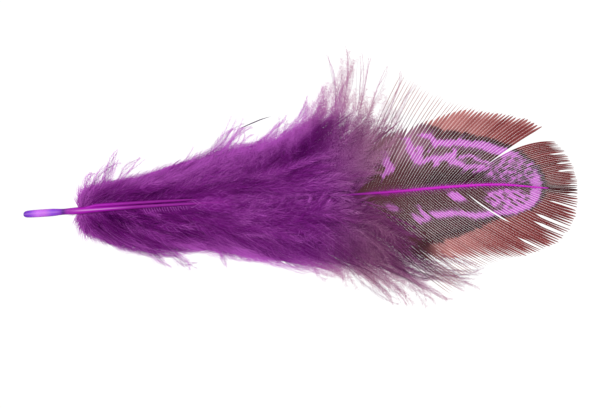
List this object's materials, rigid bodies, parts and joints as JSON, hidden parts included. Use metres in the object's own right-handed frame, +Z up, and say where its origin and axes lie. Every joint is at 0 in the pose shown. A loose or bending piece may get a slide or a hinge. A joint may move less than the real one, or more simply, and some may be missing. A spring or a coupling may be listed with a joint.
{
  "type": "pheasant feather",
  "caption": "Dyed purple pheasant body feather lying underside up: bare quill, downy lower half with loose wisps, and a patterned vane with a split near its rounded tip.",
  "frame": {"origin": "on the surface that the feather lies on, under the middle of its shaft", "axes": "+X along the feather from the quill's end towards the tip, +Z up from the surface it lies on"},
  "size_m": [0.076, 0.0341, 0.005],
  "materials": {
    "quill": "dyed keratin, smooth and slightly waxy",
    "down": "fine soft fibres dyed deep purple",
    "vane": "dull barbs in grey-brown and rust with pale orchid marks, dye showing through"
  },
  "bodies": {
    "root": {"feather": "down"}
  },
  "joints": []
}
